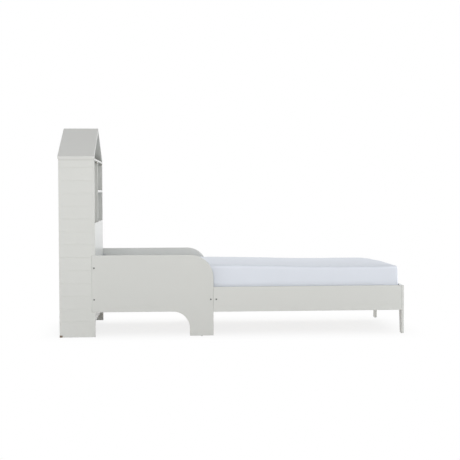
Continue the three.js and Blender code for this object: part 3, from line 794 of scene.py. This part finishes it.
def nail_paths():
    """Lines of nails that hold the back panel to the walls and to both floors of the bookcase."""
    low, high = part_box("back_panel")
    bottom = low.z + NAIL_LINE_START
    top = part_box("attic_floor")[0].z
    lines = [((low.x, y, bottom), (low.x, y, top)) for y in (low.y + NAIL_INSET, high.y - NAIL_INSET)]
    for node in ("attic_floor", "bookcase_floor"):
        shelf_low, shelf_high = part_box(node)
        middle = (shelf_low.z + shelf_high.z) / 2
        start = (low.x, shelf_low.y + NAIL_LINE_INSET, middle)
        end = (low.x, shelf_high.y - NAIL_LINE_INSET, middle)
        lines.append((start, end))
    places = [(end, (-1, 0, 0)) for line in lines for end in line]
    edges = [(2 * i, 2 * i + 1) for i in range(len(lines))]
    return places, edges


def drawn_out(name, outline, way, place, bevel):
    """A mesh of an outline's corners drawn out one way, rounded at its edges and moved to a place."""
    shell = bmesh.new()
    face = shell.faces.new([shell.verts.new(corner) for corner in outline])
    drawn = bmesh.ops.extrude_face_region(shell, geom=[face])
    moved = [item for item in drawn["geom"] if isinstance(item, bmesh.types.BMVert)]
    bmesh.ops.translate(shell, verts=moved, vec=way)
    rounding = {"offset": bevel, "segments": 2, "affect": "EDGES", "clamp_overlap": True}
    bmesh.ops.bevel(shell, geom=shell.edges[:], **rounding)
    bmesh.ops.recalc_face_normals(shell, faces=shell.faces)
    bmesh.ops.translate(shell, verts=shell.verts, vec=place)
    mesh = bpy.data.meshes.new(name)
    shell.to_mesh(mesh)
    shell.free()
    return mesh


def add_shelf_blocks(plastic, steel):
    """Blocks that hold the attic floor to the walls and the divider, each with a screw through its slope."""
    floor_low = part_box("attic_floor")[0]
    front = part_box("headboard_side_wall_near")[1].x
    shoulder = BLOCK_SHOULDER_SHARE * BLOCK_HEIGHT
    uprights = {
        "near": ("headboard_side_wall_near", 1),
        "middle": ("divider", -1),
        "far": ("headboard_side_wall_far", -1),
    }
    screws = []
    for side, (upright, facing) in uprights.items():
        low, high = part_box(upright)
        face = high.y if facing > 0 else low.y
        reach = BLOCK_SIDE * facing
        foot = BLOCK_FOOT_SHARE * reach
        outline = [
            (0, 0, 0), (0, reach, 0), (0, reach, -shoulder), (0, foot, -BLOCK_HEIGHT), (0, 0, -BLOCK_HEIGHT),
        ]
        slope = Vector((0, facing * (BLOCK_HEIGHT - shoulder), -abs(reach - foot))).normalized()
        slope_middle = Vector((BLOCK_LENGTH / 2, (reach + foot) / 2, -(shoulder + BLOCK_HEIGHT) / 2))
        for place_name, setback in zip(("front", "rear"), BLOCK_SETBACKS):
            start = front - setback - BLOCK_LENGTH
            corner = Vector((start, face + facing * SMALL_GAP, floor_low.z - SMALL_GAP))
            mesh = drawn_out("block", outline, (BLOCK_LENGTH, 0, 0), corner, BLOCK_BEVEL)
            add_piece(f"shelf_block_{place_name}_{side}", mesh, plastic)
            screws.append((corner + slope_middle, slope))
    grown("shelf_block_screws", trees["heads"], screws, [], steel, "steel", Diameter=BLOCK_SCREW_DIAMETER)


def add_corner_brackets(steel):
    """Bent steel brackets in the corners between the front panel and the guard boards."""
    panel_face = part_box("front_panel")[1].x + SMALL_GAP
    leg, thick = BRACKET_LEG, BRACKET_THICKNESS
    screw_reach = BRACKET_SCREW_LEG_SHARE * leg
    screws = []
    for side, inward in (("near", 1), ("far", -1)):
        guard_low, guard_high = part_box(f"guard_board_{side}")
        guard_face = (guard_high.y if inward > 0 else guard_low.y) + inward * SMALL_GAP
        bent = [(0, 0), (leg, 0), (leg, thick), (thick, thick), (thick, leg), (0, leg)]
        outline = [(x, y * inward, 0) for x, y in bent]
        corner = (panel_face, guard_face, BRACKET_TOP - BRACKET_HEIGHT)
        mesh = drawn_out("bracket", outline, (0, 0, BRACKET_HEIGHT), corner, BRACKET_BEVEL)
        add_piece(f"corner_bracket_{side}", mesh, steel)
        for drop in BRACKET_SCREW_DROP_SHARES:
            z = BRACKET_TOP - drop * BRACKET_HEIGHT
            on_guard = (panel_face + screw_reach, guard_face + inward * thick, z)
            on_panel = (panel_face + thick, guard_face + inward * screw_reach, z)
            screws.append((on_guard, (0, inward, 0)))
            screws.append((on_panel, (1, 0, 0)))
    grown("corner_bracket_screws", trees["heads"], screws, [], steel, "steel",
          Diameter=BRACKET_SCREW_DIAMETER, Seed=4)


# Mattress cover


def cell_lines(low, high):
    """Lines across a side of the cover: close together at both ends and even between them."""
    start = [low + step for step in COVER_EDGE_LINES]
    end = [high - step for step in reversed(COVER_EDGE_LINES)]
    middle = spaced(start[-1], end[0], COVER_CELL)
    return start + middle[1:-1] + end


def box_lattice(low, high):
    """The six sides of a box as grids of cells that meet at its edges."""
    lines = [cell_lines(low[axis], high[axis]) for axis in range(3)]
    shell = bmesh.new()
    for axis in range(3):
        across, up = (axis + 1) % 3, (axis + 2) % 3
        for end in (0, -1):
            grid = []
            for u in lines[across]:
                row = []
                for v in lines[up]:
                    point = [0.0, 0.0, 0.0]
                    point[axis], point[across], point[up] = lines[axis][end], u, v
                    row.append(shell.verts.new(point))
                grid.append(row)
            for i in range(len(grid) - 1):
                for j in range(len(grid[0]) - 1):
                    quad = [grid[i][j], grid[i + 1][j], grid[i + 1][j + 1], grid[i][j + 1]]
                    shell.faces.new(quad if end else reversed(quad))
    bmesh.ops.remove_doubles(shell, verts=shell.verts, dist=WELD_DISTANCE)
    return shell


def lean_in(shell, low, high):
    """Draws the sides in a little just under the top, where the cloth is pulled over the edge."""
    middle = (low + high) / 2
    for vertex in shell.verts:
        height = (vertex.co.z - high.z + COVER_LEAN_HEIGHT) / COVER_LEAN_HEIGHT
        if height > 0:
            for axis in (0, 1):
                half = high[axis] - middle[axis]
                away = vertex.co[axis] - middle[axis]
                vertex.co[axis] -= away / half * COVER_LEAN * height * height


def smooth_step(value, start, end):
    """Runs smoothly from 0 to 1 as a value goes from start to end."""
    share = min(max((value - start) / (end - start), 0.0), 1.0)
    return share * share * (3 - 2 * share)


def settle(mesh):
    """Leaves the top as it lies: fuller at the headboard, lower at the foot and lowest at the far corner."""
    low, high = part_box("mattress")
    for vertex in mesh.vertices:
        place = vertex.co
        height = smooth_step(place.z, low.z, high.z - COVER_LEAN_HEIGHT / 2)
        rise = HEAD_RISE * (1 - smooth_step(place.x, *HEAD_RISE_SPAN))
        fall = FOOT_SINK * smooth_step(place.x, *FOOT_SINK_SPAN)
        corner = smooth_step(place.x, *CORNER_SINK_ALONG) * smooth_step(place.y, *CORNER_SINK_ACROSS)
        vertex.co.z += height * (rise - fall - CORNER_SINK * corner)


def fullness_at(place, low, high):
    """How square the cover stands: fuller at the ends and softer along the two long edges."""
    from_side = min(place.y - low.y, high.y - place.y)
    from_end = min(place.x - low.x, high.x - place.x)
    slack = (1 - smooth_step(from_side, *SIDE_SLACKNESS_SPAN)) * smooth_step(from_end, *END_TAUTNESS_SPAN)
    return COVER_FULLNESS - SIDE_SLACKNESS * slack


def cover_blank():
    """A mesh on the mattress's surface, finer at its edges and drawn in a little so that it can swell."""
    low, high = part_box("mattress")
    surface = surface_of(welded_copy("mattress"))
    shell = box_lattice(low, high)
    for vertex in shell.verts:
        point, normal, _, _ = surface.find_nearest(vertex.co)
        ripple = COVER_RIPPLE * noise.noise(point / COVER_RIPPLE_SIZE)
        lift = ripple - COVER_START_INSET
        if point.z < low.z + COVER_START_INSET:
            lift = 0.0
        vertex.co = point.lerp(vertex.co, fullness_at(vertex.co, low, high)) + normal * lift
    loose = [vertex for vertex in shell.verts if vertex.co.z > low.z + COVER_LEAN_HEIGHT]
    every_way = {"use_axis_x": True, "use_axis_y": True, "use_axis_z": True}
    for _ in range(COVER_SMOOTHING):
        bmesh.ops.smooth_vert(shell, verts=loose, factor=COVER_SMOOTHING_SHARE, **every_way)
    lean_in(shell, low, high)
    mesh = bpy.data.meshes.new("mattress_cover")
    shell.to_mesh(mesh)
    shell.free()
    return mesh


def swell(cover):
    """Blows the cloth up against its own tension, with its underside held and its travel capped."""
    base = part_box("mattress")[0].z
    held = cover.vertex_groups.new(name="held")
    for vertex in cover.data.vertices:
        rise = (vertex.co.z - base) / COVER_HELD_HEIGHT
        held.add([vertex.index], max(0.0, 1.0 - rise), "REPLACE")
    cloth = cover.modifiers.new("swell", "CLOTH")
    cloth.settings.quality = COVER_QUALITY
    cloth.settings.vertex_group_mass = "held"
    cloth.settings.use_pressure = True
    cloth.settings.uniform_pressure_force = COVER_PRESSURE
    cloth.settings.shrink_min = -COVER_SLACK
    cloth.settings.effector_weights.gravity = 0.0
    cloth.collision_settings.use_collision = False
    cloth.point_cache.frame_end = COVER_FRAMES
    for number in range(1, COVER_FRAMES + 1):
        scene.frame_set(number)
    swollen = baked(cover)
    for vertex, moved in zip(cover.data.vertices, swollen.vertices):
        travel = moved.co - vertex.co
        if travel.length > COVER_CAP:
            travel *= COVER_CAP / travel.length
        vertex.co += travel
    scene.frame_set(1)
    bpy.data.meshes.remove(swollen)


def lay_cloth_map(mesh):
    """A UV map in metres, taken straight on from above, from the side or from the end."""
    layer = mesh.uv_layers.new(name=COVER_UV)
    planes = {0: (1, 2), 1: (0, 2), 2: (0, 1)}
    for polygon in mesh.polygons:
        facing = [abs(value) for value in polygon.normal]
        first, second = planes[facing.index(max(facing))]
        for loop in polygon.loop_indices:
            point = mesh.vertices[mesh.loops[loop].vertex_index].co
            layer.data[loop].uv = (point[first], point[second])


def make_cover(cloth):
    """The mattress in its cover, which takes the place of the CAD mattress."""
    cover = bpy.data.objects.new("mattress_cover", cover_blank())
    scene.collection.objects.link(cover)
    swell(cover)
    refine = cover.modifiers.new("refine", "SUBSURF")
    refine.levels = 1
    refine.render_levels = 1
    cover.data = baked(cover)
    cover.data.name = "mattress_cover"
    settle(cover.data)
    lay_cloth_map(cover.data)
    for polygon in cover.data.polygons:
        polygon.use_smooth = True
    cover.data.materials.clear()
    cover.data.materials.append(cloth)
    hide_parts("mattress")
    finish_piece(cover)
    return cover


def seam_paths(cover):
    """The sewn seams up the cover's four corners, as points on its surface."""
    surface = surface_of(cover.data)
    low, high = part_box("mattress")
    places = []
    edges = []
    for x, along_x in ((low.x, -1), (high.x, 1)):
        for y, along_y in ((low.y, -1), (high.y, 1)):
            out = Vector((along_x, along_y, 0)).normalized()
            first = len(places)
            for z in spaced(low.z + 2 * SEAM_INSET, high.z - SEAM_INSET, SEAM_STEP):
                aim = Vector((x, y, z)) + out * SEAM_REACH
                point, normal, _, _ = surface.ray_cast(aim, -out)
                places.append((point, normal))
            edges += [(i, i + 1) for i in range(first, len(places) - 1)]
    return places, edges


# The bed in its studio

place_camera()
light_world()
lay_floor()
for lamp_name, settings in LAMPS.items():
    hang_lamp(lamp_name, *settings)

groups = {
    "eased_edge": eased_edge_group(),
    "roller_paint": roller_paint_group(),
    "floor_scuffs_and_shade": floor_scuffs_and_shade_group(),
    "eaves_painted_shade": eaves_shade_group(),
    "timber_grain": timber_grain_group(),
    "woven_cloth": woven_cloth_group(),
    "painted_edge_highlight": edge_highlight_group(),
}
trees = {"heads": heads_on_points_tree(), "beads": beads_along_path_tree()}

# A board's paint goes by the way its edges turn, and pine by the way its grain runs
board_paint = {
    "along": painted_board("satin_paint_long_boards", (0, 1, 0)),
    "across": painted_board("satin_paint_cross_boards", (1, 0, 0)),
    "level": painted_board("satin_paint_shelves", (0, 0, 1)),
}
# Guard boards' paint, darkened or lightened as painted shade and light
guard_lit_paint = {
    node: painted_board(f"satin_paint_{node}", (0, 1, 0), tone) for node, tone in GUARD_LIGHT_TONES.items()
}
hardboard = painted_hardboard()
slat_pine = planed_pine("planed_pine_slats", math.pi / 2)
ledger_pine = planed_pine("planed_pine_ledgers", 0.0)
steel = plated_steel("zinc_plated_steel", STEEL_COLOUR)
blacked_steel = plated_steel("blacked_steel", BLACKED_STEEL_COLOUR)
corner_glide_plastic = moulded_plastic("brown_plastic", CORNER_GLIDE_COLOUR)
nail_glide_plastic = moulded_plastic("pale_plastic", NAIL_GLIDE_COLOUR)
block_plastic = moulded_plastic("grey_brown_plastic", BLOCK_COLOUR)
cloth = cover_cloth("cover_cotton", COVER_THREAD, COVER_COLOUR)
thread = cover_cloth("sewing_thread", SEWING_THREAD, COVER_COLOUR)
slot_finishes = {
    "painted_board": board_paint["along"],
    "painted_hardboard": hardboard,
    "pine": ledger_pine,
    "mattress_cover": cloth,
    "steel": steel,
    "glide_plastic": nail_glide_plastic,
}


def finish_of(node, slot):
    """A node's finish, which is its slot's own unless the node differs from the rest of the slot."""
    if slot == "painted_board" and node in ACROSS_BOARDS:
        return board_paint["across"]
    if slot == "painted_board" and node in LEVEL_BOARDS:
        return board_paint["level"]
    # The guard boards take paint with painted shade or light
    if node in guard_lit_paint:
        return guard_lit_paint[node]
    if slot == "pine" and node.startswith("slat_"):
        return slat_pine
    if node.startswith("glide_wall_rear_"):
        return corner_glide_plastic
    if slot == "steel" and "bolt" in node:
        return blacked_steel
    return slot_finishes[slot]


for part in frame["record"]["subparts"]:
    for material_slot in frame["nodes"][part["node"]].material_slots:
        material_slot.material = finish_of(part["node"], part["material_slot"])

mattress_cover = make_cover(cloth)
seam_places, seam_edges = seam_paths(mattress_cover)
grown("corner_seam_stitches", trees["beads"], seam_places, seam_edges, thread, "mattress_cover",
      Spacing=STITCH_SPACING, Length=STITCH_LENGTH, Width=STITCH_WIDTH, Height=STITCH_WIDTH)
grown("slat_screws", trees["heads"], slat_screw_places(), [], steel, "steel",
      Diameter=SCREW_DIAMETER, Height=SLAT_SCREW_HEIGHT, Slot_Width=SCREW_SLOT, Seed=2)
grown("ledger_screws", trees["heads"], ledger_screw_places(), [], steel, "steel",
      Diameter=SCREW_DIAMETER, Height=SCREW_HEIGHT, Slot_Width=SCREW_SLOT, Seed=3)
nail_places, nail_edges = nail_paths()
grown("back_panel_nails", trees["beads"], nail_places, nail_edges, steel, "steel",
      Spacing=NAIL_PITCH, Length=NAIL_DIAMETER, Width=NAIL_DIAMETER, Height=NAIL_HEIGHT)
add_shelf_blocks(block_plastic, steel)
add_corner_brackets(steel)

scene.view_settings.view_transform = "Standard"
